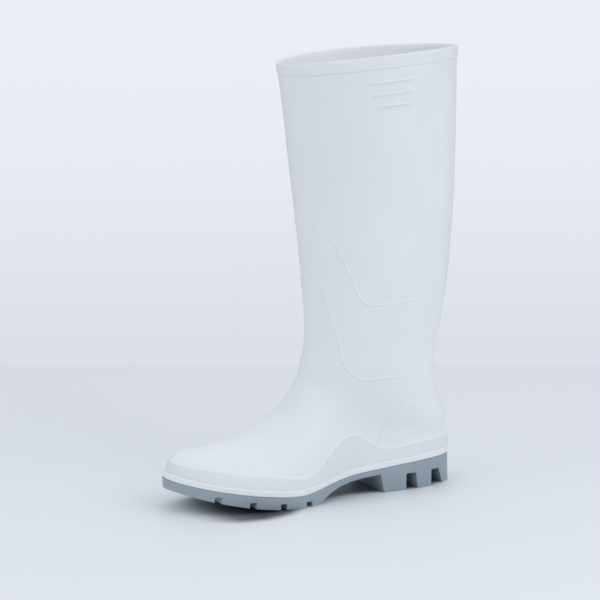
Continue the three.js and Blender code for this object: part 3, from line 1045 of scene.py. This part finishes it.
def make_camera():
    turn = math.radians(camera_turn)
    pitch = math.radians(camera_pitch)
    level = math.cos(pitch)
    back = Vector((math.sin(turn) * level, -math.cos(turn) * level, math.sin(pitch)))
    aim_y = math.sin(turn) * aim_right + aim_back + heel_back
    aim = Vector((math.cos(turn) * aim_right, aim_y, aim_up))
    data = bpy.data.cameras.new("camera")
    data.lens = camera_lens
    data.sensor_width = sensor_width
    camera = linked("camera", data)
    camera.location = (aim + back * camera_distance) / 1000
    camera.rotation_euler = back.to_track_quat("Z", "Y").to_euler()
    bpy.context.scene.camera = camera


def area_light(name, place, power, color):
    data = bpy.data.lights.new(name, "AREA")
    data.shape = "RECTANGLE"
    data.size = light_size
    data.size_y = light_size
    data.energy = power
    data.color = color
    light = linked(name, data)
    light.location = place
    aim = Vector((0, 0, light_aim)) - Vector(place)
    light.rotation_euler = aim.to_track_quat("-Z", "Y").to_euler()


def sky_ramp(tree, low, high, stops):
    """A colour for each height of the sky. The first two stops are the two a ramp begins with."""
    place = tree.nodes.new("ShaderNodeTexCoord")
    split = tree.nodes.new("ShaderNodeSeparateXYZ")
    spread = tree.nodes.new("ShaderNodeMapRange")
    socket(spread, "From Min", low)
    socket(spread, "From Max", high)
    ramp = tree.nodes.new("ShaderNodeValToRGB")
    tree.links.new(place.outputs["Generated"], split.inputs["Vector"])
    tree.links.new(split.outputs["Z"], spread.inputs["Value"])
    tree.links.new(spread.outputs["Result"], ramp.inputs["Fac"])
    elements = ramp.color_ramp.elements
    for i, (at, color) in enumerate(stops):
        stop = elements[i] if i < 2 else elements.new(at)
        stop.position = at
        stop.color = (*color, 1)
    return ramp


def make_world():
    """Soft light from above, and behind the boot a pale backdrop that lightens upwards."""
    world = bpy.data.worlds.new("studio")
    world.use_nodes = True
    tree = world.node_tree
    light = tree.nodes["Background"]
    socket(light, "Strength", 1.0)
    dome = sky_ramp(tree, 0, 1, [
        (0.0, (0.38, 0.395, 0.415)),
        (1.0, (0.76, 0.79, 0.835)),
        (0.2, (0.62, 0.645, 0.68)),
        (0.45, (0.74, 0.77, 0.815)),
    ])
    tree.links.new(dome.outputs["Color"], light.inputs["Color"])
    seen = tree.nodes.new("ShaderNodeBackground")
    backdrop = sky_ramp(tree, -0.2, 0, [
        (0.1, (0.708, 0.737, 0.807)),
        (0.88, (0.834, 0.858, 0.916)),
        (0.33, (0.754, 0.785, 0.858)),
        (0.58, (0.811, 0.834, 0.891)),
    ])
    tree.links.new(backdrop.outputs["Color"], seen.inputs["Color"])
    ray = tree.nodes.new("ShaderNodeLightPath")
    both = tree.nodes.new("ShaderNodeMixShader")
    tree.links.new(ray.outputs["Is Camera Ray"], both.inputs["Fac"])
    tree.links.new(light.outputs["Background"], both.inputs[1])
    tree.links.new(seen.outputs["Background"], both.inputs[2])
    tree.links.new(both.outputs["Shader"], tree.nodes["World Output"].inputs["Surface"])
    bpy.context.scene.world = world


# Painted contact shadow on the floor: how far out from the sole's outline it reaches, and how dark it is
shade_fade = 16
shade_rows = table(
    "along edge dark",
    (0.0, -5, 0.85),
    (0.25, -6, 0.85),
    (0.4, -20, 0.8),
    (0.55, -14, 0.6),
    (0.61, -1, 0.7),
    (0.67, 9, 0.85),
    (0.76, 16, 0.9),
    (0.84, 18, 0.75),
    (0.92, 16, 0.15),
    (0.96, 10, 0.0),
)


def contact_shade(x, y):
    """How dark the floor's painted contact shadow is at that place, 0 to 1: under the sole, and beside
    it on the outer side.
    """
    y = y - heel_back
    along = np.clip(-y / sole_length, 0, 1)
    rows = [row["along"] for row in shade_rows]
    edge = np.interp(along, rows, [row["edge"] for row in shade_rows])
    narrower = np.clip(x / 4, -shade_fade / 2, 0)
    edge = np.where(x > 0, edge, np.minimum(edge, 0)) + narrower
    dark = np.interp(along, rows, [row["dark"] for row in shade_rows])
    away = (plan_reach(x, y, 0) - 1) * ball_width / 2
    return dark * (1 - step(away, edge, shade_fade))


def make_floor():
    """A pale floor that ends behind the boot, square to the camera, with a contact shadow painted into
    its colour where the sole meets it.
    """
    turn = math.radians(camera_turn)
    fine = np.linspace(-floor_fine, floor_fine, 130)
    across = np.concatenate([[-floor_reach], fine, [floor_reach]])
    deep = np.concatenate([[-floor_reach], fine, [floor_behind]])
    u, v = np.meshgrid(across, deep)
    count = len(across)
    points = np.stack([u, v, np.zeros(u.shape)], -1).reshape(-1, 3)
    faces = [(a, a + 1, a + count + 1, a + count) for row in range(len(deep) - 1)
             for a in range(row * count, (row + 1) * count - 1)]
    mesh = bpy.data.meshes.new("floor")
    mesh.from_pydata(points.tolist(), [], faces)
    x = (u * math.cos(turn) - v * math.sin(turn)) * 1000
    y = (u * math.sin(turn) + v * math.cos(turn)) * 1000
    shade = mesh.attributes.new("shade", "FLOAT", "POINT")
    shade.data.foreach_set("value", contact_shade(x, y).reshape(-1))
    floor = linked("floor", mesh)
    floor.rotation_euler = (0, 0, turn)
    material, shader = new_material("floor", (0.8, 0.825, 0.855), 0.5)
    tree = material.node_tree
    place = tree.nodes.new("ShaderNodeTexCoord")
    split = tree.nodes.new("ShaderNodeSeparateXYZ")
    spread = tree.nodes.new("ShaderNodeMapRange")
    socket(spread, "From Min", floor_pale_from)
    socket(spread, "From Max", floor_behind)
    # The floor's colour is painted lighter towards the camera and darker towards the back: a painted
    # gradient of light.
    ramp = tree.nodes.new("ShaderNodeValToRGB")
    near_end, far_end = ramp.color_ramp.elements
    near_end.color = (0.875, 0.9, 0.915, 1)
    far_end.color = (0.83, 0.845, 0.88, 1)
    tree.links.new(place.outputs["Object"], split.inputs["Vector"])
    tree.links.new(split.outputs["Y"], spread.inputs["Value"])
    tree.links.new(spread.outputs["Result"], ramp.inputs["Fac"])
    # A contact shadow painted into the floor's colour: the shade attribute mixes it towards a near-black
    # colour under the sole and beside it on the outer side.
    contact = tree.nodes.new("ShaderNodeAttribute")
    contact.attribute_name = "shade"
    both = tree.nodes.new("ShaderNodeMix")
    both.data_type = "RGBA"
    factor, plain, dark = (both.inputs[i] for i in (0, 6, 7))
    mixed = both.outputs[2]
    dark.default_value = (*painted_shadow_color, 1)
    tree.links.new(contact.outputs["Fac"], factor)
    tree.links.new(ramp.outputs["Color"], plain)
    tree.links.new(mixed, shader.inputs["Base Color"])
    mesh.materials.append(material)


def make_studio():
    make_world()
    make_floor()
    area_light("top", (-0.5, 0.4, 1.9), 1.2, (1.0, 0.99, 0.98))
    area_light("front", (0.1, -1.5, 1.1), 2.4, (0.97, 0.985, 1.0))
    area_light("rear", (1.3, 0.75, 1.1), 5.0, (0.97, 0.985, 1.0))
    bpy.context.scene.view_settings.view_transform = "Standard"


make_camera()
build()
make_studio()
